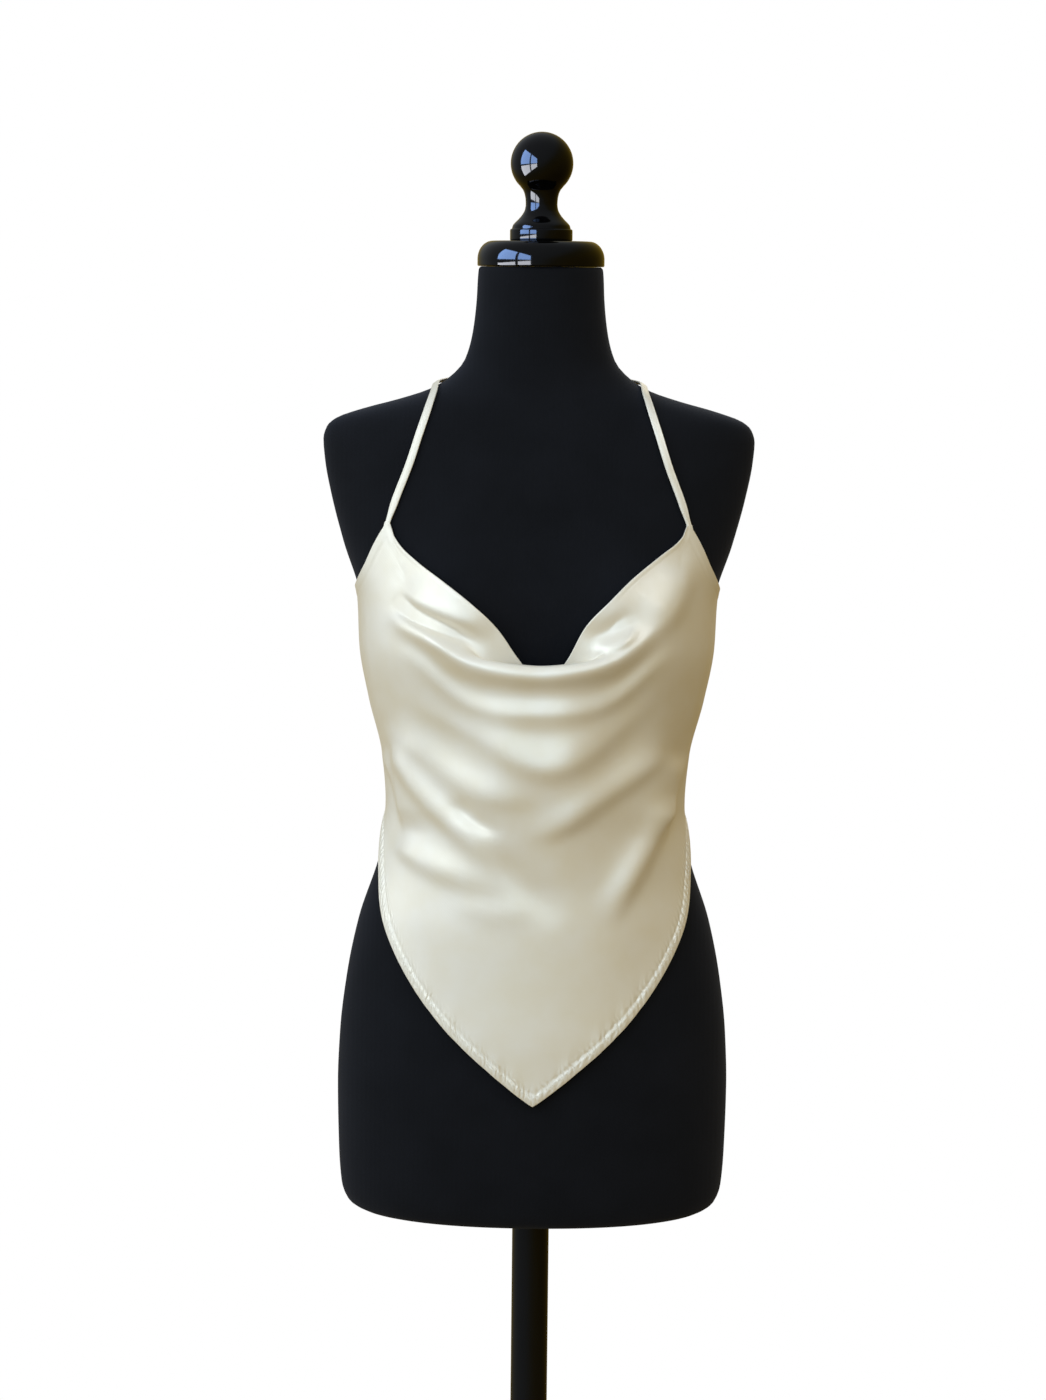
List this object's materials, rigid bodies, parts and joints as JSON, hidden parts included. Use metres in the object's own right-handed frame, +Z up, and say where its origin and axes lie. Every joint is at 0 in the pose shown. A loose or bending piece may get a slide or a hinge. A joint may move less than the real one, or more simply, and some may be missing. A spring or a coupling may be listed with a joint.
{
  "type": "halter neck top on a limbless dress form",
  "caption": "Satin halter neck top with a cowl neckline, open back and pointed hem, worn by a black limbless dress form on a pole stand.",
  "frame": {"origin": "centre of the underside of the stand's base, on the floor", "axes": "+Z up along the pole, -Y out of the front of the top, +X to the right of a viewer who faces the front"},
  "size_m": [0.372, 0.34, 1.6511],
  "materials": {
    "satin": "ivory satin, soft sheen",
    "jersey": "matt black knitted jersey",
    "gloss_black": "polished black",
    "stand_black": "semi-gloss black paint"
  },
  "bodies": {
    "root": {"front_panel": "satin", "neck_strap": "satin", "back_strap": "satin", "torso": "jersey", "neck_cap": "gloss_black", "finial": "gloss_black", "pole": "stand_black", "base": "stand_black"}
  },
  "joints": []
}
